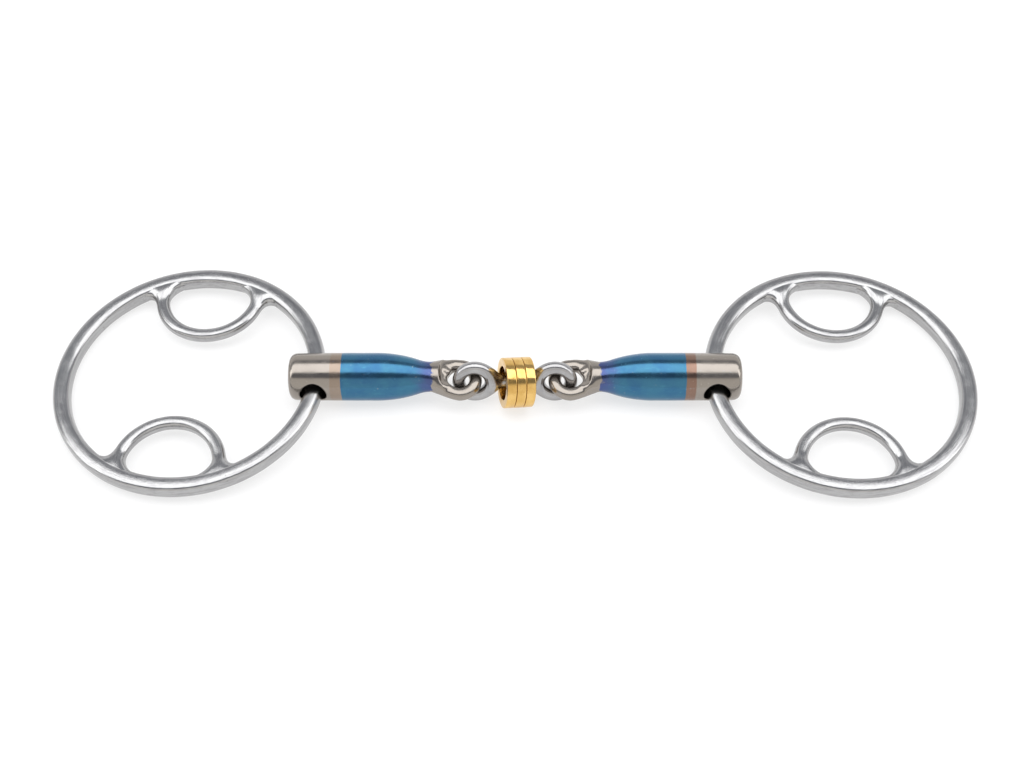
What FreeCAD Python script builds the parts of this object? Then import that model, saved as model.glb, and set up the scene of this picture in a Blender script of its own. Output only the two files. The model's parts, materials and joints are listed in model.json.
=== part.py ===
import FreeCAD, Part

import math
import os

import Sketcher

# A loose ring bevel snaffle, lying flat: two cheek rings with a D loop welded inside each at either
# side, two cannons, and a centre link that carries three loose brass rings.
# Millimetres. +Z is up and z = 0 is the surface that the bit lies on. +X runs along the mouthpiece.
# The origin is on that surface, under the middle of the mouthpiece.

doc = FreeCAD.newDocument("snaffle_bit")

DIMENSIONS = [
    # Cheek rings: a round bar bent to a circle. Their inner side hangs in the cannon's cross hole.
    ("ring_radius", 42.8),
    ("ring_bar", 5.8),
    ("ring_seat_gap", 0.3),
    ("ring_pull", 0.52),
    ("left_ring_turn", -4.5),
    ("right_ring_turn", -0.5),
    ("left_ring_shift", 1.6),
    ("right_ring_shift", 1.1),
    # D loops: a thinner bar bent to an arch, welded at both feet to the inside of the cheek ring.
    ("loop_bar", 4.5),
    ("loop_radius", 16.7),
    ("loop_leg", 4.7),
    ("loop_fillet", 3.0),
    ("weld_sink", 0.03),
    # Cannons: one half of the mouthpiece each, from the cross hole to the eye.
    ("hole_spacing", 133.4),
    ("hole_clearance", 2.8),
    ("cannon_end", 8.3),
    ("cannon_end_round", 1.4),
    ("cannon_radius", 8.0),
    ("cannon_end_relief", 0.2),
    ("shoulder_curve", 44.0),
    ("neck_reach", 8.5),
    ("neck_radius", 4.45),
    ("neck_curve", 7.3),
    ("taper_slope", 18.3),
    # The cannon's eye: a rod bent to a U at the end of the neck, which flattens out to meet its legs.
    ("eye_spacing", 37.0),
    ("eye_rod", 4.3),
    ("eye_clearance", 1.05),
    ("eye_leg", 4.4),
    ("eye_tilt", 6),
    ("eye_shift", -1.3),
    ("eye_drop", 0.2),
    ("root_reach", 5.7),
    ("root_half_width", 6.2),
    ("root_half_height", 2.8),
    ("root_overlap", 0.9),
    ("root_sink", 0.1),
    ("root_share", 0.6),
    # Centre link: a shank with an eye at each end, standing in the cannons' eyes.
    ("link_rod", 4.3),
    ("link_play", 0.3),
    ("link_shank", 4.1),
    ("link_fillet", 1.0),
    ("link_lean", 19),
    ("link_end_shift", -0.1),
    ("link_shift", -1.6),
    ("link_drop", 0.3),
    # Brass rings: three loose collars side by side round the link's shank.
    ("brass_outer", 16.9),
    ("brass_bore", 11.2),
    ("brass_width", 3.1),
    ("brass_gap", 0.12),
    ("brass_edge", 0.55),
    ("brass_swing", 9.7),
    ("brass_rise", 9.0),
    ("brass_end_shift", 0.4),
    ("brass_shift", -3.2),
    ("brass_floor_gap", 0.1),
]

sheet = doc.addObject("Spreadsheet::Sheet", "sizes")
for row, (alias, number) in enumerate(DIMENSIONS, start=1):
    sheet.set(f"A{row}", alias)
    sheet.set(f"B{row}", str(number))
    sheet.setAlias(f"B{row}", alias)
doc.recompute()

X_AXIS = FreeCAD.Vector(1, 0, 0)
Y_AXIS = FreeCAD.Vector(0, 1, 0)
Z_AXIS = FreeCAD.Vector(0, 0, 1)
FLAT = FreeCAD.Vector(0, 0, 1)
SIDES = (("left", -1), ("right", 1))
SURFACE_TOLERANCE = 0.05
LOOP_FOOT = "sqrt(sizes.ring_radius ^ 2 - sizes.loop_radius ^ 2)"
NECK_PLACE = "sizes.eye_spacing / 2 + sizes.neck_reach"
CURVES = "(sizes.shoulder_curve + sizes.neck_curve)"
SHOULDER_PLACE = (
    f"{NECK_PLACE} + {CURVES} * sin(sizes.taper_slope) + (sizes.cannon_radius - sizes.neck_radius"
    f" - {CURVES} * (1 - cos(sizes.taper_slope))) / tan(sizes.taper_slope)")
EYE_RADIUS = "((sizes.eye_rod + sizes.link_rod) / 2 + sizes.eye_clearance)"
nodes = []


def size(alias):
    """The number that the sheet holds under this alias."""
    return float(sheet.get(alias))


def point(x, y):
    """A point in a sketch's own plane."""
    return FreeCAD.Vector(x, y, 0)


def new_body(label):
    """An empty body for one sub-part."""
    body = doc.addObject("PartDesign::Body", label)
    body.Label = label
    return body


def new_sketch(body, name, role):
    """A sketch on one of the body's own origin planes."""
    plane = next(o for o in body.Origin.OriginFeatures if o.Role == role)
    sketch = body.newObject("Sketcher::SketchObject", name)
    sketch.AttachmentSupport = (plane, "")
    sketch.MapMode = "FlatFace"
    return sketch


def bind(sketch, constraint, expression):
    """Add a constraint and drive it by an expression in the sheet's sizes."""
    index = sketch.addConstraint(constraint)
    sketch.setExpression(f"Constraints[{index}]", expression)


def disc_sketch(body, name, role, across, up, diameter):
    """A circle whose centre and diameter come from expressions. A 0 keeps the centre on an axis."""
    sketch = new_sketch(body, name, role)
    circle = sketch.addGeometry(Part.Circle(point(10, 1), FLAT, 2))
    if across == "0":
        sketch.addConstraint(Sketcher.Constraint("PointOnObject", circle, 3, -2))
    else:
        bind(sketch, Sketcher.Constraint("DistanceX", -1, 1, circle, 3, 10), across)
    if up == "0":
        sketch.addConstraint(Sketcher.Constraint("PointOnObject", circle, 3, -1))
    else:
        bind(sketch, Sketcher.Constraint("DistanceY", -1, 1, circle, 3, 1), up)
    bind(sketch, Sketcher.Constraint("Diameter", circle, 4), diameter)
    return sketch


def revolve(body, kind, name, sketch, axis, angle="360"):
    """Turn a sketch about one of its own axes."""
    turned = body.newObject(kind, name)
    turned.Profile = sketch
    turned.ReferenceAxis = (sketch, [axis])
    turned.setExpression("Angle", angle)
    turned.Midplane = True
    sketch.Visibility = False
    return turned


# ---------------------------------------------------------------- cheek rings and their loops

def ring_placement(side, sign):
    """Where a cheek ring lies: its inner side hangs at the bottom of the cross hole, and its outer
    side rests on the surface."""
    bar = size("ring_bar") / 2
    radius = size("ring_radius")
    play = size("hole_clearance") / 2
    inner_height = size("cannon_radius") - play + size("ring_seat_gap")
    tilt = math.asin((inner_height - bar) / (2 * radius))
    inner_place = size("hole_spacing") / 2 - size("ring_pull")
    centre = FreeCAD.Vector(
        sign * (inner_place + radius * math.cos(tilt)),
        size(f"{side}_ring_shift"),
        (inner_height + bar) / 2,
    )
    lean = FreeCAD.Rotation(Y_AXIS, sign * math.degrees(tilt))
    turn = FreeCAD.Rotation(Z_AXIS, size(f"{side}_ring_turn"))
    return FreeCAD.Placement(centre, lean.multiply(turn))


def cheek_ring(side, sign):
    """The cheek ring: a round bar bent to a full circle."""
    body = new_body(f"{side}_cheek_ring")
    section = disc_sketch(body, f"{side}_ring_bar", "XZ_Plane", "sizes.ring_radius", "0", "sizes.ring_bar")
    revolve(body, "PartDesign::Revolution", f"{side}_ring_turned", section, "V_Axis")
    body.Placement = ring_placement(side, sign)
    nodes.append(body)


def arch_path(body, name, radius, centre, foot):
    """A bent bar's centreline: a half circle round (0, centre) that bulges towards -Y, and two
    straight legs that end at y = foot. The three sizes are expressions, or 0 for the centre."""
    sketch = new_sketch(body, name, "XY_Plane")
    arch = sketch.addGeometry(
        Part.ArcOfCircle(Part.Circle(point(0, 20), FLAT, 10), math.pi, 2 * math.pi))
    left_leg = sketch.addGeometry(Part.LineSegment(point(-10, 25), point(-10, 20)))
    right_leg = sketch.addGeometry(Part.LineSegment(point(10, 20), point(10, 25)))
    sketch.addConstraint(Sketcher.Constraint("Tangent", left_leg, 2, arch, 1))
    sketch.addConstraint(Sketcher.Constraint("Tangent", arch, 2, right_leg, 1))
    sketch.addConstraint(Sketcher.Constraint("Vertical", left_leg))
    sketch.addConstraint(Sketcher.Constraint("Vertical", right_leg))
    sketch.addConstraint(Sketcher.Constraint("PointOnObject", arch, 3, -2))
    bind(sketch, Sketcher.Constraint("Radius", arch, 10), radius)
    if centre == "0":
        sketch.addConstraint(Sketcher.Constraint("PointOnObject", arch, 3, -1))
    else:
        bind(sketch, Sketcher.Constraint("DistanceY", -1, 1, arch, 3, 20), centre)
    bind(sketch, Sketcher.Constraint("DistanceY", -1, 1, left_leg, 1, 25), foot)
    bind(sketch, Sketcher.Constraint("DistanceY", -1, 1, right_leg, 2, 25), foot)
    return sketch


def cheek_loop(side, sign, place, half_turn):
    """One D loop: the arch, ground fillets where its feet meet the ring, and the ring's own bar cut
    away, so that its feet fit the bar's surface."""
    label = f"{side}_{place}_loop"
    body = new_body(label)
    path = arch_path(
        body, f"{label}_path", "sizes.loop_radius", f"{LOOP_FOOT} - sizes.loop_leg", LOOP_FOOT)
    section = disc_sketch(
        body, f"{label}_bar", "XZ_Plane", "-sizes.loop_radius", "0", "sizes.loop_bar")
    section.AttachmentOffset = FreeCAD.Placement(FreeCAD.Vector(0, 0, -1), FreeCAD.Rotation())
    section.setExpression("AttachmentOffset.Base.z", f"-{LOOP_FOOT}")
    arch = body.newObject("PartDesign::AdditivePipe", f"{label}_arch")
    arch.Profile = section
    arch.Spine = path
    doc.recompute()
    bar = disc_sketch(
        body, f"{label}_ring_bar", "YZ_Plane", "sizes.ring_radius", "0",
        "sizes.ring_bar - 2 * sizes.weld_sink")
    stretch = "2 * asin((sizes.loop_radius + 2 * sizes.loop_bar + sizes.loop_fillet) / sizes.ring_radius)"
    revolve(body, "PartDesign::Revolution", f"{label}_ring_stretch", bar, "V_Axis", stretch)
    doc.recompute()
    joined = body.Tip
    seams = [f"Edge{i}" for i, edge in enumerate(joined.Shape.Edges, start=1) if is_seam(edge)]
    fillet = body.newObject("PartDesign::Fillet", f"{label}_ground_weld")
    fillet.Base = (joined, seams)
    fillet.setExpression("Radius", "sizes.loop_fillet")
    doc.recompute()
    cutter = disc_sketch(
        body, f"{label}_ring_space", "YZ_Plane", "sizes.ring_radius", "0", "sizes.ring_bar")
    revolve(body, "PartDesign::Groove", f"{label}_fitted", cutter, "V_Axis", "180")
    body.Placement = ring_placement(side, sign).multiply(
        FreeCAD.Placement(FreeCAD.Vector(), FreeCAD.Rotation(Z_AXIS, half_turn)))
    nodes.append(body)


def is_seam(edge):
    """True for the edges where a leg runs into the ring's bar: they lie on the bar's surface, and
    neither on its end faces nor on the arch's own joints."""
    reach = size("ring_radius")
    bar = size("ring_bar") / 2 - size("weld_sink")
    if isinstance(edge.Curve, (Part.Circle, Part.Line)):
        return False
    middle = edge.valueAt((edge.FirstParameter + edge.LastParameter) / 2)
    out = math.hypot(middle.x, middle.y) - reach
    return abs(math.hypot(out, middle.z) - bar) < SURFACE_TOLERANCE


for side, sign in SIDES:
    cheek_ring(side, sign)
    cheek_loop(side, sign, "upper", 0)
    cheek_loop(side, sign, "lower", 180)


# ---------------------------------------------------------------- cannons

def end_near(sketch, item, place):
    """Which end of a sketch's line or arc lies at this point: 1 for its start, 2 for its end."""
    start = sketch.getPoint(item, 1)
    finish = sketch.getPoint(item, 2)
    return 1 if (start - place).Length < (finish - place).Length else 2


def join(sketch, kind, first, second, place):
    """Join two lines or arcs where both reach this point, with or without a corner."""
    ends = (end_near(sketch, first, place), end_near(sketch, second, place))
    sketch.addConstraint(Sketcher.Constraint(kind, first, ends[0], second, ends[1]))


def barrel_outline(body, name):
    """Half the barrel's outline along +X: the flat end, the slightly crowned barrel, the round
    shoulder, the taper and the hollow of the neck, each running smoothly into the next."""
    sketch = new_sketch(body, name, "XZ_Plane")
    slope = math.radians(size("taper_slope"))
    end = point(size("hole_spacing") / 2 + size("cannon_end"), 0)
    rim = point(end.x, size("cannon_radius") - size("cannon_end_relief"))
    low = point(size("eye_spacing") / 2 + size("neck_reach"), size("neck_radius"))
    curves = size("shoulder_curve") + size("neck_curve")
    rise = size("cannon_radius") - size("neck_radius") - curves * (1 - math.cos(slope))
    top = point(
        low.x + curves * math.sin(slope) + rise / math.tan(slope), size("cannon_radius"))
    neck = point(low.x, 0)
    crown_middle = point((rim.x + top.x) / 2, top.y - (top.y - rim.y) / 4)

    def rounded(start, radius, angle, up):
        return point(
            start.x - up * radius * math.sin(angle), start.y - up * radius * (1 - math.cos(angle)))

    shoulder_end = rounded(top, size("shoulder_curve"), slope, 1)
    shoulder_middle = rounded(top, size("shoulder_curve"), slope / 2, 1)
    hollow_start = rounded(low, size("neck_curve"), slope, -1)
    hollow_middle = rounded(low, size("neck_curve"), slope / 2, -1)
    axis = sketch.addGeometry(Part.LineSegment(neck, end))
    face = sketch.addGeometry(Part.LineSegment(end, rim))
    crown = sketch.addGeometry(Part.Arc(rim, crown_middle, top))
    shoulder = sketch.addGeometry(Part.Arc(top, shoulder_middle, shoulder_end))
    taper = sketch.addGeometry(Part.LineSegment(shoulder_end, hollow_start))
    hollow = sketch.addGeometry(Part.Arc(hollow_start, hollow_middle, low))
    root = sketch.addGeometry(Part.LineSegment(low, neck))
    join(sketch, "Coincident", axis, face, end)
    join(sketch, "Coincident", face, crown, rim)
    join(sketch, "Tangent", crown, shoulder, top)
    join(sketch, "Tangent", shoulder, taper, shoulder_end)
    join(sketch, "Tangent", taper, hollow, hollow_start)
    join(sketch, "Coincident", hollow, root, low)
    join(sketch, "Coincident", root, axis, neck)
    sketch.addConstraint(Sketcher.Constraint("PointOnObject", axis, 1, -1))
    sketch.addConstraint(Sketcher.Constraint("PointOnObject", axis, 2, -1))
    sketch.addConstraint(Sketcher.Constraint("Vertical", face))
    sketch.addConstraint(Sketcher.Constraint("Vertical", root))
    bind(sketch, Sketcher.Constraint("Radius", shoulder, size("shoulder_curve")),
         "sizes.shoulder_curve")
    bind(sketch, Sketcher.Constraint("Radius", hollow, size("neck_curve")), "sizes.neck_curve")
    bind(sketch, Sketcher.Constraint("DistanceX", -1, 1, axis, 2, end.x),
         "sizes.hole_spacing / 2 + sizes.cannon_end")
    bind(sketch, Sketcher.Constraint("DistanceX", -1, 1, axis, 1, neck.x), NECK_PLACE)
    bind(sketch, Sketcher.Constraint("DistanceX", -1, 1, shoulder, 3, top.x), SHOULDER_PLACE)
    bind(sketch, Sketcher.Constraint("DistanceX", -1, 1, crown, 3, top.x), SHOULDER_PLACE)
    bind(sketch, Sketcher.Constraint("DistanceX", -1, 1, hollow, 3, low.x), NECK_PLACE)
    for item, place, height in (
        (face, rim, "sizes.cannon_radius - sizes.cannon_end_relief"),
        (shoulder, top, "sizes.cannon_radius"),
        (root, low, "sizes.neck_radius"),
    ):
        corner = end_near(sketch, item, place)
        bind(sketch, Sketcher.Constraint("DistanceY", -1, 1, item, corner, place.y), height)
    return sketch


def oval_sketch(body, name, across, up, offset):
    """An oval across the mouthpiece's axis. Its half width, half height and place along X are
    expressions."""
    sketch = new_sketch(body, name, "YZ_Plane")
    sketch.setExpression("AttachmentOffset.Base.z", offset)
    oval = sketch.addGeometry(
        Part.Ellipse(point(5, 0), point(0, 3), point(0, 0)))
    sketch.exposeInternalGeometry(oval)
    sketch.addConstraint(Sketcher.Constraint("Coincident", oval, 3, -1, 1))
    major = oval + 1
    minor = oval + 2
    sketch.addConstraint(Sketcher.Constraint("Horizontal", major))
    bind(sketch, Sketcher.Constraint("Distance", major, 10), f"2 * ({across})")
    bind(sketch, Sketcher.Constraint("Distance", minor, 6), f"2 * ({up})")
    return sketch


def barrel(side, sign):
    """The barrel, its neck and the flattened spread that meets the eye's legs, made along +X. A
    cross hole takes the cheek ring's bar."""
    label = f"{side}_barrel"
    body = new_body(label)
    outline = barrel_outline(body, f"{label}_outline")
    revolve(body, "PartDesign::Revolution", f"{label}_turned", outline, "H_Axis")
    neck = oval_sketch(
        body, f"{label}_neck", "sizes.neck_radius - sizes.root_sink",
        "sizes.neck_radius - 2 * sizes.root_sink", f"{NECK_PLACE} + sizes.root_sink")
    root = oval_sketch(
        body, f"{label}_root", "sizes.root_half_width", "sizes.root_half_height",
        "sizes.eye_spacing / 2 + sizes.root_reach")
    legs = oval_sketch(
        body, f"{label}_legs", f"{EYE_RADIUS} + sizes.eye_rod / 2 - sizes.root_sink",
        "sizes.eye_rod / 2 - sizes.root_sink",
        "sizes.eye_spacing / 2 + sizes.eye_leg - sizes.root_overlap")
    for section, share in ((root, size("root_share")), (legs, 1)):
        tilt = FreeCAD.Rotation(Z_AXIS, sign * share * size("eye_tilt"))
        section.AttachmentOffset = FreeCAD.Placement(section.AttachmentOffset.Base, tilt)
        section.setExpression("AttachmentOffset.Base.x", f"{sign * share} * sizes.eye_shift")
        section.setExpression("AttachmentOffset.Base.y", f"-{share} * sizes.eye_drop")
    spread = body.newObject("PartDesign::AdditiveLoft", f"{label}_spread")
    spread.Profile = neck
    spread.Sections = [root, legs]
    hole = disc_sketch(
        body, f"{label}_cross_hole", "XZ_Plane", "sizes.hole_spacing / 2", "0",
        "sizes.ring_bar + sizes.hole_clearance")
    drilled = body.newObject("PartDesign::Pocket", f"{label}_drilled")
    drilled.Profile = hole
    drilled.Type = "ThroughAll"
    drilled.Midplane = True
    doc.recompute()
    end = size("hole_spacing") / 2 + size("cannon_end")
    rims = [f"Edge{i}" for i, edge in enumerate(body.Tip.Shape.Edges, start=1)
            if edge.BoundBox.XMin > end - SURFACE_TOLERANCE]
    rounded = body.newObject("PartDesign::Fillet", f"{label}_end_round")
    rounded.Base = (drilled, rims)
    rounded.setExpression("Radius", "sizes.cannon_end_round")
    return body


def eye(side, sign):
    """The eye at the neck's end: a rod bent to a U, its legs running out into the spread."""
    label = f"{side}_eye"
    body = new_body(label)
    path = arch_path(
        body, f"{label}_path", EYE_RADIUS, "0", "sizes.eye_leg")
    section = disc_sketch(body, f"{label}_rod", "XZ_Plane", f"-{EYE_RADIUS}", "0", "sizes.eye_rod")
    section.setExpression("AttachmentOffset.Base.z", "-sizes.eye_leg")
    bent = body.newObject("PartDesign::AdditivePipe", f"{label}_bent")
    bent.Profile = section
    bent.Spine = path
    along = FreeCAD.Rotation(Z_AXIS, -90)
    tilt = FreeCAD.Rotation(X_AXIS, sign * size("eye_tilt"))
    place = FreeCAD.Vector(size("eye_spacing") / 2, sign * size("eye_shift"), -size("eye_drop"))
    body.Placement = FreeCAD.Placement(place, tilt.multiply(along))
    return body


def cannon(side, sign):
    """One half of the mouthpiece: barrel and eye in one. The left one is turned half a turn."""
    whole = doc.addObject("Part::MultiFuse", f"{side}_cannon")
    whole.Label = f"{side}_cannon"
    whole.Shapes = [barrel(side, sign), eye(side, sign)]
    facing = FreeCAD.Rotation(Z_AXIS, 0 if sign > 0 else 180)
    whole.Placement = FreeCAD.Placement(FreeCAD.Vector(0, 0, size("cannon_radius")), facing)
    nodes.append(whole)


for side, sign in SIDES:
    cannon(side, sign)


# ---------------------------------------------------------------- centre link

def centre_link():
    """The link that joins the cannons: a shank between two round eyes, which stand almost upright.
    The shank runs into each eye with a small weld fillet."""
    body = new_body("centre_link")
    for name, sign in SIDES:
        rod = disc_sketch(
            body, f"link_{name}_rod", "XY_Plane", EYE_RADIUS, "0", "sizes.link_rod")
        rod.setExpression(
            "AttachmentOffset.Base.x",
            f"{sign} * ((sizes.eye_spacing + sizes.link_play) / 2 - {EYE_RADIUS})")
        revolve(body, "PartDesign::Revolution", f"link_{name}_eye", rod, "V_Axis")
    section = disc_sketch(body, "link_shank_section", "YZ_Plane", "0", "0", "sizes.link_shank")
    shank = body.newObject("PartDesign::Pad", "link_shank")
    shank.Profile = section
    shank.setExpression("Length", f"sizes.eye_spacing + sizes.link_play - 4 * {EYE_RADIUS}")
    shank.Midplane = True
    doc.recompute()
    seams = [
        f"Edge{i}" for i, edge in enumerate(body.Tip.Shape.Edges, start=1)
        if not isinstance(edge.Curve, (Part.Circle, Part.Line)) and edge.Length > size("link_shank")
    ]
    fillet = body.newObject("PartDesign::Fillet", "link_welds")
    fillet.Base = (shank, seams)
    fillet.setExpression("Radius", "sizes.link_fillet")
    place = FreeCAD.Vector(
        size("link_end_shift"), size("link_shift"), size("cannon_radius") - size("link_drop"))
    body.Placement = FreeCAD.Placement(place, FreeCAD.Rotation(X_AXIS, -size("link_lean")))
    nodes.append(body)


centre_link()


# ---------------------------------------------------------------- brass rings

def brass_ring(name, place):
    """A loose brass collar round the shank. The three lie side by side and touch the surface."""
    label = f"{name}_brass_ring"
    body = new_body(label)
    sketch = new_sketch(body, f"{label}_wall", "XZ_Plane")
    corners = [point(-1, 6), point(1, 6), point(1, 8), point(-1, 8)]
    sides = [
        sketch.addGeometry(Part.LineSegment(corners[i], corners[(i + 1) % 4])) for i in range(4)]
    for i in range(4):
        sketch.addConstraint(Sketcher.Constraint("Coincident", sides[i], 2, sides[(i + 1) % 4], 1))
    for i, kind in ((1, "Vertical"), (2, "Horizontal"), (3, "Vertical")):
        sketch.addConstraint(Sketcher.Constraint(kind, sides[i]))
    sketch.addConstraint(Sketcher.Constraint("Symmetric", sides[0], 1, sides[0], 2, -2))
    bind(sketch, Sketcher.Constraint("DistanceX", sides[0], 1, sides[0], 2, 2), "sizes.brass_width")
    bind(sketch, Sketcher.Constraint("DistanceY", -1, 1, sides[0], 1, 6), "sizes.brass_bore / 2")
    bind(sketch, Sketcher.Constraint("DistanceY", -1, 1, sides[2], 1, 8), "sizes.brass_outer / 2")
    turned = revolve(body, "PartDesign::Revolution", f"{label}_turned", sketch, "H_Axis")
    doc.recompute()
    rims = [f"Edge{i}" for i, edge in enumerate(turned.Shape.Edges, start=1)
            if isinstance(edge.Curve, Part.Circle)]
    rounded = body.newObject("PartDesign::Fillet", f"{label}_edges")
    rounded.Base = (turned, rims)
    rounded.setExpression("Radius", "sizes.brass_edge")
    rise = math.radians(size("brass_rise"))
    swing = math.radians(size("brass_swing"))
    axis = FreeCAD.Vector(
        math.cos(rise) * math.cos(swing), math.cos(rise) * math.sin(swing), -math.sin(rise))
    pitch = size("brass_width") + size("brass_gap")
    height = (
        size("brass_outer") / 2 * math.cos(rise) + 1.5 * pitch * math.sin(rise)
        + size("brass_floor_gap"))
    middle = FreeCAD.Vector(size("brass_end_shift"), size("brass_shift"), height)
    turn = FreeCAD.Rotation(Z_AXIS, size("brass_swing")).multiply(
        FreeCAD.Rotation(Y_AXIS, size("brass_rise")))
    body.Placement = FreeCAD.Placement(middle + axis * (place * pitch), turn)
    nodes.append(body)


for place, name in enumerate(("left", "middle", "right"), start=-1):
    brass_ring(name, place)


# ---------------------------------------------------------------- checks and files

doc.recompute()
for item in doc.Objects:
    if "Invalid" in item.State or "Error" in item.State:
        raise RuntimeError(f"{item.Label} failed: {item.State}")
for node in nodes:
    if node.Shape.isNull() or not node.Shape.isValid() or len(node.Shape.Solids) != 1:
        raise RuntimeError(f"{node.Label} is not one valid solid")
os.makedirs("parts", exist_ok=True)
for node in nodes:
    node.Shape.exportStep(f"parts/{node.Label}.step")
    print(node.Label, round(node.Shape.Volume, 1))
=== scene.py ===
import json
import math

import bpy
import numpy as np
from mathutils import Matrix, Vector


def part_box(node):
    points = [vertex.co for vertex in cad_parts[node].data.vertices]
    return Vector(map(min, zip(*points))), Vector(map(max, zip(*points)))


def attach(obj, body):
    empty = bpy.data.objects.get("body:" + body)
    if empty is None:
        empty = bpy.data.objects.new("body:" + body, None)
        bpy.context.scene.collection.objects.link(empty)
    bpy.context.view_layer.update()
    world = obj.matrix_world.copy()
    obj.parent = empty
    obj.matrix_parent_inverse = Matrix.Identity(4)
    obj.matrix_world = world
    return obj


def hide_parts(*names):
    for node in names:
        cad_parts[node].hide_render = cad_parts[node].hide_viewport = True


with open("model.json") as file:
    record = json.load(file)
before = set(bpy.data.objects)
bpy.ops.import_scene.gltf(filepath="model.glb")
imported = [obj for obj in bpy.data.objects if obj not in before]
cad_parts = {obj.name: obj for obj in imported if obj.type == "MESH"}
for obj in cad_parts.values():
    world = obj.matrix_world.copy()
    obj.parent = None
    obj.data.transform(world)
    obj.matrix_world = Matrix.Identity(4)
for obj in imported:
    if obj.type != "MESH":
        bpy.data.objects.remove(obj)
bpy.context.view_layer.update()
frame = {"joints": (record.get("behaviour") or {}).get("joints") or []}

MM = 0.001
SIDES = (("left", -1), ("right", 1))
joints = {joint["name"]: joint for joint in frame["joints"]}


# ---------------------------------------------------------------------------------------------
# The two cheek rings. Each is a round stainless bar bent to a circle and butt welded, then ground
# and polished by hand, which leaves it slightly uneven, with soft flats above and below.

RING_BAR = 2.9
RING_RADIUS = 42.8
RING_FLAT = 0.12
RING_SQUARENESS = 1.55
RING_WAVE = 0.022
RING_STEPS = 720
RING_SECTION = 48


def cheek_axes(side):
    """The cheek's own axes as rows, and its centre, in millimetres: its plane's normal comes from
    the joint that it turns on, and its upright runs from the lower loop to the upper one."""
    joint = joints[f"{side}_ring_slide_round"]
    normal = Vector(joint["axis"]).normalized()
    if normal.z < 0:
        normal = -normal
    middles = []
    for place in ("lower", "upper"):
        low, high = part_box(f"{side}_{place}_loop")
        middles.append((low + high) / 2)
    upright = middles[1] - middles[0]
    upright = (upright - normal * upright.dot(normal)).normalized()
    along = upright.cross(normal)
    return np.array([along, upright, normal]), np.array(joint["pos_m"]) / MM


def waviness(points, length, seed):
    """A smooth unevenness between -1 and 1, as hand grinding leaves it. Length is its scale."""
    total = np.zeros(points.shape[:-1])
    for i in range(6):
        turn = seed * 1.7 + i * 2.399
        lift = math.sin(seed + i * 1.3)
        direction = np.array([math.cos(turn), math.sin(turn), lift])
        pace = 2 * math.pi / (length * (0.7 + 0.13 * i))
        total += np.sin(points @ direction * pace + 1.9 * i + seed)
    return total / 6


def add_mesh(name, points, faces):
    """A smooth shaded mesh object from points in millimetres."""
    mesh = bpy.data.meshes.new(name)
    mesh.from_pydata((np.asarray(points) * MM).tolist(), [], np.asarray(faces).tolist())
    mesh.validate()
    mesh.shade_smooth()
    piece = bpy.data.objects.new(name, mesh)
    bpy.context.scene.collection.objects.link(piece)
    return piece


def add_grain(piece, out, up, along):
    """Where each point is in its bar's section, and along the bar, so that marks can follow it."""
    grain = piece.data.attributes.new("grain", "FLOAT_VECTOR", "POINT")
    grain.data.foreach_set("vector", np.stack([out, up, along], axis=-1).ravel())


def tube_faces(steps, section):
    """Quads of a tube that closes on itself both ways."""
    around, across = np.meshgrid(np.arange(steps), np.arange(section), indexing="ij")
    next_around = (around + 1) % steps
    next_across = (across + 1) % section
    corners = [
        around * section + across,
        next_around * section + across,
        next_around * section + next_across,
        around * section + next_across,
    ]
    return np.stack(corners, axis=-1).reshape(-1, 4)


def ring_points(seed):
    """Points of the ring in its own plane. The bar is ground a little flat above and below."""
    turn, spin = np.meshgrid(
        np.linspace(0, 2 * math.pi, RING_STEPS, endpoint=False),
        np.linspace(0, 2 * math.pi, RING_SECTION, endpoint=False),
        indexing="ij",
    )
    out = RING_BAR * np.cos(spin)
    up = RING_BAR * np.sin(spin)
    top = RING_BAR - RING_FLAT
    up = top * np.tanh(up / top * RING_SQUARENESS) / math.tanh(RING_SQUARENESS * RING_BAR / top)
    middle = np.stack(
        [RING_RADIUS * np.cos(turn), RING_RADIUS * np.sin(turn), np.zeros_like(turn)], axis=-1)
    uneven = waviness(middle, 17, seed) + waviness(middle + up[..., None], 9, seed + 3) - 1
    wave = 1 + RING_WAVE / RING_BAR * uneven
    reach = RING_RADIUS + out * wave
    return np.stack(
        [reach * np.cos(turn), reach * np.sin(turn), up * wave], axis=-1).reshape(-1, 3)


def grain_group():
    """Long polishing marks that run along a bar: a height for bump and a mask of dull streaks."""
    group, source, sink = value_group(
        "bar_grain",
        [("Vector", "NodeSocketVector", (0, 0, 0))],
        [("Height", "NodeSocketFloat"), ("Streaks", "NodeSocketFloat")],
    )
    fine = noise(group, stretched(group, source["Vector"], (9, 9, 0.35)), 1, 3)
    broad = noise(group, stretched(group, source["Vector"], (1.6, 1.6, 0.22)), 1, 3, 0.6)
    group.links.new(fine, sink["Height"])
    group.links.new(remap(group, broad, 0.42, 0.66, 0, 1, True), sink["Streaks"])
    return group


def value_group(name, inputs, outputs):
    """A new shader node group with the named number, vector and colour sockets."""
    group = bpy.data.node_groups.new(name, "ShaderNodeTree")
    for label, kind, default in inputs:
        socket = group.interface.new_socket(label, in_out="INPUT", socket_type=kind)
        socket.default_value = default
    for label, kind in outputs:
        group.interface.new_socket(label, in_out="OUTPUT", socket_type=kind)
    source = group.nodes.new("NodeGroupInput")
    sink = group.nodes.new("NodeGroupOutput")
    return group, source.outputs, sink.inputs


def noise(tree, vector, scale, detail, rough=0.5):
    """The value of a noise texture."""
    node = tree.nodes.new("ShaderNodeTexNoise")
    node.inputs["Detail"].default_value = detail
    node.inputs["Roughness"].default_value = rough
    node.inputs["Scale"].default_value = scale
    tree.links.new(vector, node.inputs["Vector"])
    return node.outputs["Fac"]


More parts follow.
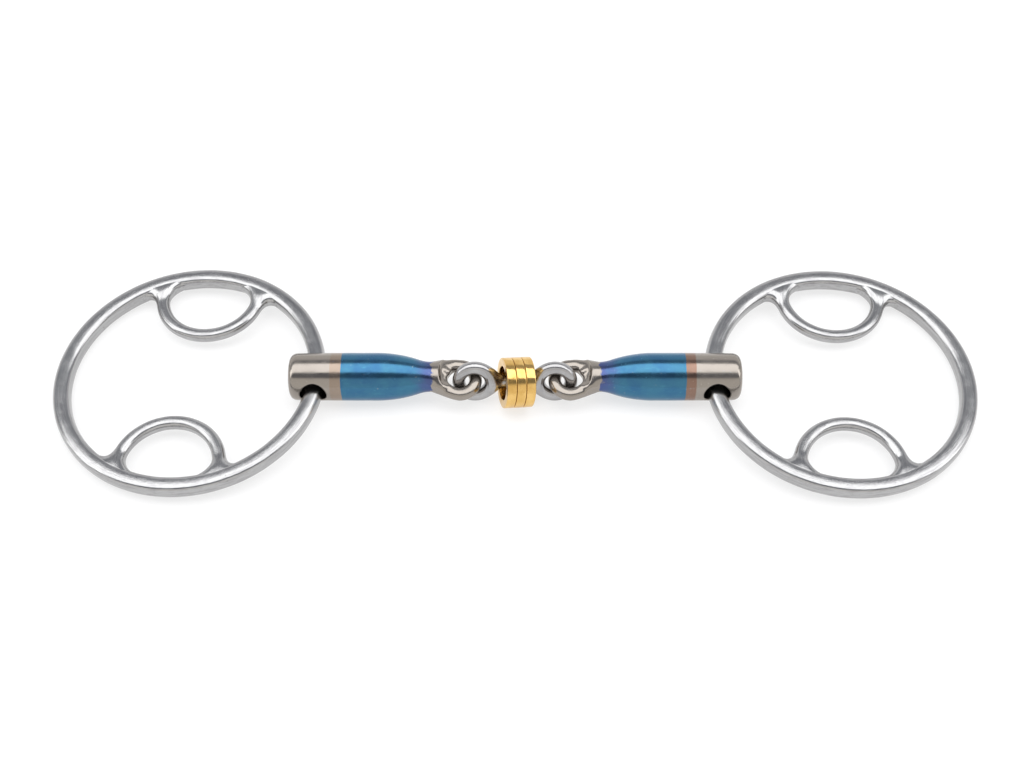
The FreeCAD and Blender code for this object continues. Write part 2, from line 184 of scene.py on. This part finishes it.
def remap(tree, value, low, high, to_low, to_high, smooth=False):
    """Value carried from one range to another, and kept inside it."""
    node = tree.nodes.new("ShaderNodeMapRange")
    node.interpolation_type = "SMOOTHSTEP" if smooth else "LINEAR"
    tree.links.new(value, node.inputs["Value"])
    for label, number in (
        ("From Min", low), ("From Max", high), ("To Min", to_low), ("To Max", to_high),
    ):
        if isinstance(number, bpy.types.NodeSocket):
            tree.links.new(number, node.inputs[label])
        else:
            node.inputs[label].default_value = number
    return node.outputs["Result"]


def maths(tree, operation, *values):
    """A maths node's result. Values are sockets or numbers."""
    node = tree.nodes.new("ShaderNodeMath")
    node.operation = operation
    for slot, value in zip(node.inputs, values):
        if isinstance(value, bpy.types.NodeSocket):
            tree.links.new(value, slot)
        else:
            slot.default_value = value
    return node.outputs["Value"]


def stretched(tree, vector, scale):
    """The vector with each part multiplied by its own number."""
    node = tree.nodes.new("ShaderNodeVectorMath")
    node.operation = "MULTIPLY"
    tree.links.new(vector, node.inputs[0])
    node.inputs[1].default_value = scale
    return node.outputs["Vector"]


def blended(tree, share, first, second):
    """A mix of two colours."""
    node = tree.nodes.new("ShaderNodeMix")
    node.data_type = "RGBA"
    for slot, value in ((node.inputs[0], share), (node.inputs[6], first), (node.inputs[7], second)):
        if isinstance(value, bpy.types.NodeSocket):
            tree.links.new(value, slot)
        else:
            slot.default_value = value
    return node.outputs[2]


def hand_polish_group():
    """Hand polish on metal: fine crossed scratches, small pits and slow unevenness. It gives a
    height for bump, a roughness, and a mask that darkens the colour in the pits."""
    group, source, sink = value_group(
        "hand_polish",
        [("Vector", "NodeSocketVector", (0, 0, 0)),
         ("Smooth", "NodeSocketFloat", 0.16),
         ("Dull", "NodeSocketFloat", 0.34),
         ("Pits", "NodeSocketFloat", 0.5)],
        [("Height", "NodeSocketFloat"),
         ("Roughness", "NodeSocketFloat"),
         ("Pit Darkening", "NodeSocketFloat")],
    )
    where = source["Vector"]
    lines_one = noise(group, stretched(group, where, (3200, 380, 900)), 1, 3)
    lines_two = noise(group, stretched(group, where, (420, 2900, 700)), 1, 3)
    patches = noise(group, where, 260, 3, 0.55)
    swell = noise(group, where, 140, 1)
    specks = noise(group, where, 1500, 2, 0.5)
    pit = maths(group, "MULTIPLY", remap(group, specks, 0.66, 0.76, 0, 1, True), source["Pits"])
    lines = maths(group, "ADD", lines_one, lines_two)
    lines = maths(group, "MULTIPLY", lines, 0.10)
    height = maths(group, "ADD", lines, maths(group, "MULTIPLY", swell, 0.7))
    height = maths(group, "SUBTRACT", height, maths(group, "MULTIPLY", pit, 0.35))
    group.links.new(height, sink["Height"])
    rough = remap(group, patches, 0.3, 0.72, source["Smooth"], source["Dull"], True)
    rough = maths(group, "ADD", rough, maths(group, "MULTIPLY", pit, 0.25))
    group.links.new(rough, sink["Roughness"])
    group.links.new(pit, sink["Pit Darkening"])
    return group


hand_polish = hand_polish_group()


def new_metal(name):
    """A metal material: its tree, its Principled shader and its object coordinates."""
    material = bpy.data.materials.new(name)
    material.use_nodes = True
    tree = material.node_tree
    shader = tree.nodes["Principled BSDF"]
    shader.inputs["Metallic"].default_value = 1
    coordinates = tree.nodes.new("ShaderNodeTexCoord")
    return material, tree, shader, coordinates.outputs["Object"]


def place_group(tree, group, where, **values):
    """A node group in a material, with its own values."""
    node = tree.nodes.new("ShaderNodeGroup")
    node.node_tree = group
    tree.links.new(where, node.inputs["Vector"])
    for label, value in values.items():
        node.inputs[label].default_value = value
    return node


def add_bump(tree, shader, height, strength, distance):
    """Feed a height to the shader's normal."""
    bump = tree.nodes.new("ShaderNodeBump")
    bump.inputs["Strength"].default_value = strength
    bump.inputs["Distance"].default_value = distance
    tree.links.new(height, bump.inputs["Height"])
    tree.links.new(bump.outputs["Normal"], shader.inputs["Normal"])


bar_grain = grain_group()


def polished_steel(name, bright, dark, smooth, dull, pits):
    """Stainless steel bar, ground and polished by hand along its length."""
    material, tree, shader, where = new_metal(name)
    attribute = tree.nodes.new("ShaderNodeAttribute")
    attribute.attribute_name = "grain"
    grain = place_group(tree, bar_grain, attribute.outputs["Vector"])
    polish = place_group(tree, hand_polish, where, Smooth=smooth, Dull=dull, Pits=pits)
    colour = blended(tree, grain.outputs["Streaks"], bright, dark)
    # The colour is darkened to near black in the small pits of the polish.
    colour = blended(tree, polish.outputs["Pit Darkening"], colour, (0.10, 0.09, 0.085, 1))
    tree.links.new(colour, shader.inputs["Base Color"])
    tree.links.new(polish.outputs["Roughness"], shader.inputs["Roughness"])
    height = maths(tree, "ADD", polish.outputs["Height"], grain.outputs["Height"])
    add_bump(tree, shader, height, 0.22, 0.0001)
    return material


ring_steel = polished_steel(
    "ring_steel", (0.43, 0.43, 0.43, 1), (0.36, 0.355, 0.36, 1), 0.13, 0.22, 0.5)

for side, sign in SIDES:
    axes, centre = cheek_axes(side)
    points = ring_points(1 + sign)
    ring = add_mesh(
        f"{side}_cheek_ring_bar", points @ axes + centre, tube_faces(RING_STEPS, RING_SECTION))
    add_grain(ring, np.hypot(points[:, 0], points[:, 1]) - RING_RADIUS, points[:, 2], points[:, 0])
    ring.data.materials.append(ring_steel)
    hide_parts(f"{side}_cheek_ring")
    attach(ring, f"{side}_ring")


# ---------------------------------------------------------------------------------------------
# The four D loops, two inside each ring. Each is a thinner stainless bar bent to an arch and
# welded to the ring at both feet. The welds are ground to broad webs, flush with the ring.

LOOP_BAR = 2.25
LOOP_RADIUS = 16.7
LOOP_CENTRE = 34.7
LOOP_FLAT = 0.10
LOOP_WAVE = 0.03
LOOP_FOOT_ROUND = 0.5
WELD_BLEND = 6.0
WEB_TOP = 2.55
WEB_ROUND = 0.8
WEB_LIFT = 0.03
LOOP_GRID = 0.24


def soft_min(first, second, width):
    """The union of two fields, with a fillet about this wide."""
    nearness = np.clip(1 - np.abs(first - second) / width, 0, None)
    return np.minimum(first, second) - nearness ** 2 * width / 4


def soft_max(first, second, width):
    """The overlap of two fields, with its edge rounded over about this width."""
    return -soft_min(-first, -second, width)


def rounded_bar(out, up, radius, flat):
    """The field of a bar's section with soft flats above and below."""
    return soft_max(np.hypot(out, up) - radius, np.abs(up) - (radius - flat), 0.5)


def loop_field(points):
    """One loop and its webs, in the cheek's own axes, without the ring's bar."""
    x, y, z = np.moveaxis(points, -1, 0)
    ring = np.hypot(np.hypot(x, y) - RING_RADIUS, z) - RING_BAR
    arch = np.where(
        y < LOOP_CENTRE, np.hypot(x, y - LOOP_CENTRE) - LOOP_RADIUS, np.abs(x) - LOOP_RADIUS)
    arch = rounded_bar(arch, z, LOOP_BAR + LOOP_WAVE * waviness(points, 9, 2.0), LOOP_FLAT)
    beyond = np.hypot(x, y) - RING_RADIUS
    arch = soft_max(arch, beyond, LOOP_FOOT_ROUND)
    joined = soft_min(ring, arch, WELD_BLEND)
    ground = np.abs(z) - WEB_TOP - LOOP_WAVE * waviness(points, 5, 4.0)
    joined = soft_max(joined, ground, WEB_ROUND)
    joined = np.maximum(joined, beyond)
    return np.maximum(joined, WEB_LIFT - (ring - joined))


def gradient(field, points):
    """The slope of a field at each point."""
    reach = 0.02
    slope = np.empty_like(points)
    for axis in range(3):
        shift = np.zeros(3)
        shift[axis] = reach
        slope[:, axis] = (field(points + shift) - field(points - shift)) / (2 * reach)
    return slope


def settle(field, points, rounds):
    """Move points onto the surface where the field is zero."""
    for _ in range(rounds):
        slope = gradient(field, points)
        square = np.maximum((slope ** 2).sum(axis=1), 0.25)
        step = np.clip(field(points), -0.15, 0.15) / square
        points = points - slope * step[:, None]
    return points


def skin(field, low, high, step):
    """A closed quad mesh of the surface where a field is zero: one point in each small cell that
    the surface crosses, and one quad round each cell edge that it cuts."""
    low = np.array(low, float)
    lines = [np.arange(low[i], high[i] + step, step) for i in range(3)]
    grid = np.stack(np.meshgrid(*lines, indexing="ij"), axis=-1)
    inside = field(grid) < 0
    count = np.zeros(np.array(inside.shape) - 1, int)
    for i in (0, 1):
        for j in (0, 1):
            for k in (0, 1):
                count += inside[
                    i:inside.shape[0] - 1 + i, j:inside.shape[1] - 1 + j, k:inside.shape[2] - 1 + k]
    mixed = (count > 0) & (count < 8)
    index = np.full(mixed.shape, -1)
    index[mixed] = np.arange(mixed.sum())
    points = low + (np.argwhere(mixed) + 0.5) * step
    faces = []
    for axis in range(3):
        side_one, side_two = [a for a in range(3) if a != axis]
        before = np.take(inside, range(inside.shape[axis] - 1), axis)
        after = np.take(inside, range(1, inside.shape[axis]), axis)
        for crossing, flip in ((before & ~after, axis != 1), (~before & after, axis == 1)):
            place = np.argwhere(crossing)
            quad = []
            for one, two in ((0, 0), (1, 0), (1, 1), (0, 1)):
                cell = place.copy()
                cell[:, side_one] -= one
                cell[:, side_two] -= two
                quad.append(index[tuple(cell.T)])
            quad = np.stack(quad, axis=1)
            faces.append(quad if flip else quad[:, ::-1])
    faces = np.concatenate(faces)
    edges = np.concatenate([faces[:, [i, (i + 1) % 4]] for i in range(4)])
    links = np.zeros(len(points))
    np.add.at(links, edges[:, 0], 1)
    for _ in range(3):
        points = settle(field, points, 2)
        total = np.zeros_like(points)
        np.add.at(total, edges[:, 0], points[edges[:, 1]])
        points = (points + total / links[:, None]) / 2
    return settle(field, points, 3), faces


loop_points, loop_faces = skin(loop_field, (-30, 13, -3.2), (30, 43, 3.2), LOOP_GRID)
loop_out = np.hypot(loop_points[:, 0], loop_points[:, 1] - LOOP_CENTRE) - LOOP_RADIUS

for side, sign in SIDES:
    axes, centre = cheek_axes(side)
    for place, facing in (("upper", 1), ("lower", -1)):
        turned = loop_points * np.array([facing, facing, 1])
        loop = add_mesh(f"{side}_{place}_loop_bar", turned @ axes + centre, loop_faces)
        add_grain(loop, loop_out, loop_points[:, 2], loop_points[:, 0])
        loop.data.materials.append(ring_steel)
        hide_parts(f"{side}_{place}_loop")
        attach(loop, f"{side}_ring")


# ---------------------------------------------------------------------------------------------
# The two cannons, one half of the mouthpiece each, forged and turned from mild steel. The barrel
# is heat blued, and its outer end, with the cross hole, and its bent and welded eye are left bare.

BARREL = 8.0
BARREL_END = 7.8
BARREL_END_ROUND = 1.5
BARREL_WAVE = 0.012
SHOULDER = 46.0
SHOULDER_CURVE = 44.0
NECK_PLACE = 27.0
NECK = 4.45
NECK_CURVE = 7.3
NECK_SLOPE = math.radians(18.3)
NECK_OVERLAP = 1.5
NECK_BLEND = 3.6
HOLE = 4.3
HOLE_REACH = 8.3
HOLE_ROUND = 0.7
EYE_RADIUS = 5.35
EYE_ROD = 2.15
EYE_TILT = math.radians(6)
EYE_DROP = 0.2
EYE_FLAT = 0.08
EYE_TAPER = 0.048
EYE_RETURN = 0.14
EYE_END = 9.6
EYE_OPENING = 3.3
EYE_OPENING_SHIFT = 0.7
EYE_WEB_HALF = 1.75
EYE_WEB_START = 2.4
NEAR_BEAD = ((4.9, -3.6, 1.4), (5.9, -3.2, 1.5), 1.05)
FAR_BEAD = ((4.0, 2.4, 1.3), (4.6, 2.8, 1.4), 0.95)
CANNON_GRID = 0.24


def barrel_radius(x, end):
    """The barrel's radius at each place along it: neck, taper, round shoulder and crown."""
    hollow_end = NECK_PLACE + NECK_CURVE * math.sin(NECK_SLOPE)
    hollow_top = NECK + NECK_CURVE * (1 - math.cos(NECK_SLOPE))
    shoulder_end = SHOULDER - SHOULDER_CURVE * math.sin(NECK_SLOPE)
    inward = np.clip((x - NECK_PLACE) / NECK_CURVE, 0, 0.9)
    hollow = NECK + NECK_CURVE * (1 - np.sqrt(1 - inward ** 2))
    taper = hollow_top + (x - hollow_end) * math.tan(NECK_SLOPE)
    outward = np.clip((SHOULDER - x) / SHOULDER_CURVE, 0, 0.9)
    shoulder = BARREL - SHOULDER_CURVE * (1 - np.sqrt(1 - outward ** 2))
    crown = BARREL - (BARREL - BARREL_END) * ((x - SHOULDER) / (end - SHOULDER)) ** 2
    radius = np.where(x < hollow_end, hollow, np.where(x < shoulder_end, taper, shoulder))
    return np.where(x < SHOULDER, radius, crown)


def capsule(points, start, finish, radius):
    """The field of a straight rod with round ends."""
    start = np.array(start, float)
    along = np.array(finish, float) - start
    share = np.clip(((points - start) @ along) / (along @ along), 0, 1)
    return np.linalg.norm(points - start - share[..., None] * along, axis=-1) - radius


def cannon_field(eye_place, end, sign):
    """The field of one cannon, with x measured outwards from the middle of the mouthpiece. The
    eye is a rod bent to a U, with a web between its legs and a weld bead on each."""
    eye_x, eye_y = eye_place
    hole_x = end - HOLE_REACH
    tilt = np.array([
        [1, 0, 0],
        [0, math.cos(EYE_TILT), math.sin(EYE_TILT)],
        [0, -math.sin(EYE_TILT), math.cos(EYE_TILT)],
    ])

    def field(points):
        x, y, z = np.moveaxis(points, -1, 0)
        around = np.hypot(y, z)
        barrel = (around - barrel_radius(x, end)) * 0.96
        barrel = soft_max(barrel, x - end, 2 * BARREL_END_ROUND)
        barrel = np.maximum(barrel, NECK_PLACE - NECK_OVERLAP - x)
        local = (points - np.array([eye_x, eye_y, -EYE_DROP])) @ tilt.T
        u, v, w = np.moveaxis(local, -1, 0)
        ahead = np.clip(u, 0, 9.5)
        line = EYE_RADIUS - EYE_TAPER * ahead ** 2
        slope = np.sqrt(1 + (2 * EYE_TAPER * ahead) ** 2)
        legs = (np.abs(v - EYE_RETURN * ahead) - line) / slope
        bend = np.where(u < 0, np.hypot(u, v) - EYE_RADIUS, legs)
        rod = rounded_bar(bend, w, EYE_ROD, EYE_FLAT)
        rod = soft_max(rod, u - EYE_END, 2.4)
        web = soft_max(legs - 0.2, np.abs(w - 0.03 * u) - EYE_WEB_HALF, 1.6)
        web = soft_max(web, EYE_OPENING - np.hypot(u - EYE_OPENING_SHIFT, v), 1.0)
        web = soft_max(soft_max(web, EYE_WEB_START - u, 1.2), u - EYE_END, 3.0)
        rod = soft_min(rod, web, 1.0)
        beads = soft_min(capsule(local, *NEAR_BEAD), capsule(local, *FAR_BEAD), 0.4)
        rod = soft_min(rod, beads, 0.8)
        whole = soft_min(barrel, rod, NECK_BLEND)
        hole = HOLE - np.hypot(x - hole_x, z)
        whole = soft_max(whole, hole, HOLE_ROUND)
        return whole + BARREL_WAVE * (1.2 + waviness(points, 7, 1.5 + sign))

    return field


def heat_blue_group():
    """Heat colours along a cannon. Outwards is millimetres from the middle of the mouthpiece: bare
    steel, a ragged edge, violet, blue, a straight edge, a copper band or a faint flush, bare."""
    group, source, sink = value_group(
        "heat_blue",
        [("Vector", "NodeSocketVector", (0, 0, 0)),
         ("Blue Start", "NodeSocketFloat", 28.5),
         ("Blue End", "NodeSocketFloat", 57.0),
         ("Copper End", "NodeSocketFloat", 60.2),
         ("Copper", "NodeSocketColor", (0.20, 0.11, 0.07, 1)),
         ("Blue", "NodeSocketColor", (0.054, 0.17, 0.27, 1)),
         ("Bare", "NodeSocketColor", (0.31, 0.28, 0.25, 1))],
        [("Color", "NodeSocketColor")],
    )
    where = source["Vector"]
    split = group.nodes.new("ShaderNodeSeparateXYZ")
    group.links.new(where, split.inputs["Vector"])
    outwards = maths(group, "MULTIPLY", maths(group, "ABSOLUTE", split.outputs["X"]), 1000)
    ragged = maths(group, "MULTIPLY", maths(group, "SUBTRACT", noise(group, where, 330, 3), 0.5), 5)
    inner = maths(group, "SUBTRACT", maths(group, "ADD", outwards, ragged), source["Blue Start"])
    started = remap(group, inner, -0.25, 0.35, 0, 1, True)
    wander = maths(group, "SUBTRACT", noise(group, where, 160, 2), 0.5)
    wander = maths(group, "MULTIPLY", wander, 0.8)
    place = maths(group, "ADD", outwards, wander)
    past_blue = maths(group, "SUBTRACT", place, source["Blue End"])
    ended = remap(group, past_blue, -0.12, 0.12, 0, 1, True)
    past_copper = maths(group, "SUBTRACT", place, source["Copper End"])
    bare_again = remap(group, past_copper, -0.25, 0.25, 0, 1, True)
    clouds = noise(group, where, 120, 4, 0.6)
    streaks = noise(group, stretched(group, where, (350, 1100, 1100)), 1, 3, 0.6)
    cloudy = remap(group, clouds, 0.35, 0.68, 0, 0.75, True)
    deep = blended(group, cloudy, source["Blue"], (0.038, 0.12, 0.25, 1))
    streaky = remap(group, streaks, 0.55, 0.8, 0, 0.55, True)
    light = blended(group, streaky, deep, (0.075, 0.24, 0.34, 1))
    violet_share = remap(group, inner, 0.5, 7.0, 0.75, 0, True)
    violet = blended(group, violet_share, light, (0.085, 0.085, 0.235, 1))
    copper = blended(group, ended, violet, source["Copper"])
    outer = blended(group, bare_again, copper, source["Bare"])
    colour = blended(group, started, source["Bare"], outer)
    group.links.new(colour, sink["Color"])
    return group


heat_blue = heat_blue_group()


def cannon_metal(side, **zones):
    """The cannon's steel: heat blue on the barrel, bare and finely turned at its ends."""
    material, tree, shader, where = new_metal(f"{side}_cannon_steel")
    polish = place_group(tree, hand_polish, where, Smooth=0.16, Dull=0.26, Pits=0.35)
    heat = place_group(tree, heat_blue, where, **zones)
    turning = noise(tree, stretched(tree, where, (5200, 160, 160)), 1, 2)
    nicks = remap(tree, noise(tree, where, 900, 1), 0.72, 0.78, 0, 0.5, True)
    colour = blended(tree, nicks, heat.outputs["Color"], (0.30, 0.32, 0.34, 1))
    tree.links.new(colour, shader.inputs["Base Color"])
    tree.links.new(polish.outputs["Roughness"], shader.inputs["Roughness"])
    height = maths(tree, "ADD", polish.outputs["Height"], maths(tree, "MULTIPLY", turning, 0.12))
    add_bump(tree, shader, height, 0.25, 0.0001)
    return material


cannon_metals = {
    "left": cannon_metal(
        "left", **{"Blue Start": 27.6, "Blue End": 57.4, "Copper End": 61.0,
                   "Copper": (0.30, 0.24, 0.195, 1)}),
    "right": cannon_metal(
        "right", **{"Blue Start": 28.4, "Blue End": 56.3, "Copper End": 59.6,
                    "Copper": (0.245, 0.155, 0.12, 1)}),
}

for side, sign in SIDES:
    pivot = np.array(joints[f"{side}_cannon_fold"]["pos_m"]) / MM
    low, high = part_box(f"{side}_cannon")
    end = max(abs(low.x), abs(high.x)) / MM
    field = cannon_field((abs(pivot[0]), pivot[1]), end, sign)
    points, faces = skin(field, (9.5, -9.5, -8.4), (end + 0.5, 8.4, 8.4), CANNON_GRID)
    points = points * np.array([sign, 1, 1]) + np.array([0, 0, pivot[2]])
    cannon = add_mesh(f"{side}_cannon_forging", points, faces if sign > 0 else faces[:, ::-1])
    cannon.data.materials.append(cannon_metals[side])
    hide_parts(f"{side}_cannon")
    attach(cannon, f"{side}_cannon")


# ---------------------------------------------------------------------------------------------
# The centre link: a short stainless bar with an eye bent at each end and welded back to the
# shank. The weld on the upper side is left brown from its heat.

LINK_EYE = 5.35
LINK_ROD = 2.15
LINK_SHANK = 2.05
LINK_LEAN = math.radians(19)
LINK_FLAT = 0.14
LINK_SPREAD_START = 2.4
LINK_SPREAD_LENGTH = 4.5
LINK_SPREAD = 0.55
LINK_BLEND = 2.6
LINK_WAVE = 0.02
LINK_GRID = 0.2

link_low, link_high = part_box("centre_link")
link_middle = np.array((link_low + link_high) / 2) / MM
link_half = (link_high.x - link_low.x) / 2 / MM
link_axes = np.array([
    [1, 0, 0],
    [0, math.cos(LINK_LEAN), -math.sin(LINK_LEAN)],
    [0, math.sin(LINK_LEAN), math.cos(LINK_LEAN)],
])


def link_field(points):
    """The link in its own axes: x along the shank, z across the eyes."""
    x, y, z = np.moveaxis(points, -1, 0)
    eye_x = link_half - LINK_ROD - LINK_EYE
    eye = rounded_bar(np.hypot(np.abs(x) - eye_x, z) - LINK_EYE, y, LINK_ROD, LINK_FLAT)
    spread = np.clip((np.abs(x) - LINK_SPREAD_START) / LINK_SPREAD_LENGTH, 0, 1)
    shank = np.hypot(y, z / (1 + LINK_SPREAD * spread ** 2)) - LINK_SHANK
    shank = np.maximum(shank, np.abs(x) - (eye_x - LINK_EYE))
    whole = soft_min(eye, shank, LINK_BLEND)
    return whole + LINK_WAVE * waviness(points, 5, 3.1)


def link_metal():
    """Stainless steel with a brown heat tint round each weld."""
    material, tree, shader, where = new_metal("link_steel")
    polish = place_group(tree, hand_polish, where, Smooth=0.14, Dull=0.26, Pits=0.5)
    clouds = remap(tree, noise(tree, where, 200, 3), 0.3, 0.7, 0, 0.7, True)
    colour = blended(tree, clouds, (0.42, 0.415, 0.415, 1), (0.33, 0.325, 0.33, 1))
    split = tree.nodes.new("ShaderNodeSeparateXYZ")
    tree.links.new(where, split.inputs["Vector"])
    away = maths(tree, "SUBTRACT", maths(tree, "ABSOLUTE", split.outputs["X"]), 0.0058)
    near = remap(tree, maths(tree, "ABSOLUTE", away), 0.0004, 0.0022, 1, 0, True)
    above = remap(tree, split.outputs["Z"], 0.0075, 0.0095, 0, 1, True)
    spotty = remap(tree, noise(tree, where, 700, 3), 0.35, 0.6, 0, 1, True)
    tint = maths(tree, "MULTIPLY", maths(tree, "MULTIPLY", near, above), spotty)
    colour = blended(tree, tint, colour, (0.24, 0.18, 0.13, 1))
    tree.links.new(colour, shader.inputs["Base Color"])
    tree.links.new(polish.outputs["Roughness"], shader.inputs["Roughness"])
    add_bump(tree, shader, polish.outputs["Height"], 0.3, 0.0001)
    return material


link_points, link_faces = skin(
    link_field, (-link_half - 0.6, -3, -8.2), (link_half + 0.6, 3, 8.2), LINK_GRID)
link = add_mesh("centre_link_forging", link_points @ link_axes + link_middle, link_faces)
link.data.materials.append(link_metal())
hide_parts("centre_link")
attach(link, "link")


# ---------------------------------------------------------------------------------------------
# Three brass rings, turned from tube with their edges just broken, loose side by side round the
# link's shank.

BRASS_OUTER = 8.4
BRASS_BORE = 5.6
BRASS_HALF = 1.55
BRASS_EDGE = 0.3
BRASS_STEPS = 180


def brass_outline():
    """The wall's outline as (along, out) points: four sides and four small round corners."""
    corners = ((1, 1), (-1, 1), (-1, -1), (1, -1))
    middle = (BRASS_OUTER + BRASS_BORE) / 2
    half = (BRASS_OUTER - BRASS_BORE) / 2
    outline = []
    for number, (along, out) in enumerate(corners):
        for share in np.linspace(0, 1, 5):
            turn = math.pi / 2 * (number + share)
            outline.append((
                along * (BRASS_HALF - BRASS_EDGE) + BRASS_EDGE * math.cos(turn),
                middle + out * (half - BRASS_EDGE) + BRASS_EDGE * math.sin(turn),
            ))
        following = corners[(number + 1) % 4]
        if following[1] == out:
            for share in (0.25, 0.5, 0.75):
                outline.append((
                    (along + (following[0] - along) * share) * (BRASS_HALF - BRASS_EDGE),
                    middle + out * half,
                ))
    return np.array(outline)


def brass_metal():
    """Polished brass with faint turning marks."""
    material, tree, shader, where = new_metal("polished_brass")
    polish = place_group(tree, hand_polish, where, Smooth=0.10, Dull=0.22, Pits=0.4)
    clouds = remap(tree, noise(tree, where, 260, 3), 0.3, 0.7, 0, 0.7, True)
    colour = blended(tree, clouds, (0.80, 0.53, 0.19, 1), (0.62, 0.37, 0.10, 1))
    tree.links.new(colour, shader.inputs["Base Color"])
    tree.links.new(polish.outputs["Roughness"], shader.inputs["Roughness"])
    add_bump(tree, shader, polish.outputs["Height"], 0.3, 0.0001)
    return material


brass = brass_metal()
outline = brass_outline()
for name in ("left", "middle", "right"):
    joint = joints[f"{name}_brass_spin"]
    axis = Vector(joint["axis"]).normalized()
    across = axis.cross(Vector((0, 0, 1))).normalized()
    up = across.cross(axis)
    spin = np.linspace(0, 2 * math.pi, BRASS_STEPS, endpoint=False)
    around = np.cos(spin)[:, None] * np.array(across) + np.sin(spin)[:, None] * np.array(up)
    points = (
        np.array(joint["pos_m"]) / MM
        + outline[None, :, 0, None] * np.array(axis)
        + outline[None, :, 1, None] * around[:, None, :]
    ).reshape(-1, 3)
    collar = add_mesh(f"{name}_brass_collar", points, tube_faces(BRASS_STEPS, len(outline)))
    collar.data.materials.append(brass)
    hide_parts(f"{name}_brass_ring")
    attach(collar, f"{name}_brass")


# ---------------------------------------------------------------------------------------------
# The table that the bit lies on: plain white acrylic, lit from below so that the bit throws hardly
# any shadow.

def floor_material():
    """Matt white acrylic that glows evenly."""
    material = bpy.data.materials.new("light_table")
    material.use_nodes = True
    shader = material.node_tree.nodes["Principled BSDF"]
    shader.inputs["Base Color"].default_value = (0.35, 0.35, 0.35, 1)
    shader.inputs["Emission Color"].default_value = (1, 1, 1, 1)
    shader.inputs["Emission Strength"].default_value = 0.66
    shader.inputs["Roughness"].default_value = 0.9
    shader.inputs["Specular IOR Level"].default_value = 0.1
    return material


FLOOR = 3.0
FLOOR_DROP = -0.02
corners = ((-1, -1), (1, -1), (1, 1), (-1, 1))
floor = add_mesh(
    "table", [(x * FLOOR / MM, y * FLOOR / MM, FLOOR_DROP) for x, y in corners], [(0, 1, 2, 3)])
floor.data.materials.append(floor_material())


# ---------------------------------------------------------------------------------------------
# Light: a long soft box overhead, a smaller one at each side, and a pale room all round. The two
# dark bands in the room draw the dark lines that run along the polished metal.

def soft_box(name, place, target, size, power):
    """A rectangular area light aimed at a point."""
    light = bpy.data.lights.new(name, "AREA")
    light.shape = "RECTANGLE"
    light.size, light.size_y = size
    light.energy = power
    lamp = bpy.data.objects.new(name, light)
    lamp.location = place
    lamp.rotation_euler = (Vector(target) - Vector(place)).to_track_quat("-Z", "Y").to_euler()
    bpy.context.scene.collection.objects.link(lamp)


def colour_ramp(tree, value, stops):
    """A colour ramp over a value from 0 to 1. Stops are (place, colour) pairs."""
    node = tree.nodes.new("ShaderNodeValToRGB")
    ramp = node.color_ramp
    ramp.interpolation = "LINEAR"
    ramp.elements[0].position, ramp.elements[0].color = stops[0]
    ramp.elements[-1].position, ramp.elements[-1].color = stops[-1]
    for place, colour in stops[1:-1]:
        ramp.elements.new(place).color = colour
    tree.links.new(value, node.inputs["Fac"])
    return node.outputs["Color"]


soft_box("overhead", (0, 0.165, 1.1), (0, 0.165, 0), (2.6, 0.93), 15.5)
for side, sign in SIDES:
    soft_box(f"{side}_side", (1.5 * sign, -0.1, 0.8), (0, 0, 0), (0.7, 0.9), 4)

world = bpy.data.worlds.new("room")
world.use_nodes = True
bpy.context.scene.world = world
tree = world.node_tree
room = tree.nodes["Background"]
direction = tree.nodes.new("ShaderNodeTexCoord").outputs["Generated"]
split = tree.nodes.new("ShaderNodeSeparateXYZ")
tree.links.new(direction, split.inputs["Vector"])
around = maths(tree, "ARCTAN2", split.outputs["Z"], maths(tree, "MULTIPLY", split.outputs["Y"], -1))
around = maths(tree, "DIVIDE", around, math.pi)
walls = colour_ramp(tree, around, [
    (0.00, (1.05, 1.03, 1.00, 1)),
    (0.24, (1.00, 0.98, 0.95, 1)),
    (0.28, (0.24, 0.25, 0.28, 1)),
    (0.38, (0.24, 0.25, 0.28, 1)),
    (0.67, (0.55, 0.56, 0.58, 1)),
    (0.70, (0.46, 0.47, 0.50, 1)),
    (0.77, (0.36, 0.37, 0.40, 1)),
    (0.82, (0.95, 0.95, 0.97, 1)),
    (1.00, (1.00, 1.00, 1.00, 1)),
])
sideways = remap(tree, maths(tree, "ABSOLUTE", split.outputs["X"]), 0.80, 0.95, 0, 1, True)
tree.links.new(blended(tree, sideways, walls, (0.8, 0.8, 0.8, 1)), room.inputs["Color"])
room.inputs["Strength"].default_value = 1
bpy.context.scene.view_settings.view_transform = "Standard"


# ---------------------------------------------------------------------------------------------
# The camera looks down at the middle of the mouthpiece from the front.

camera = bpy.data.cameras.new("camera")
camera.lens = 54.05
camera.sensor_width = 36
camera.clip_start = 0.02
viewer = bpy.data.objects.new("camera", camera)
viewer.location = (-0.00105, -0.2988, 0.4238)
viewer.rotation_euler = (math.radians(35.43), 0, 0)
bpy.context.scene.collection.objects.link(viewer)
bpy.context.scene.camera = viewer
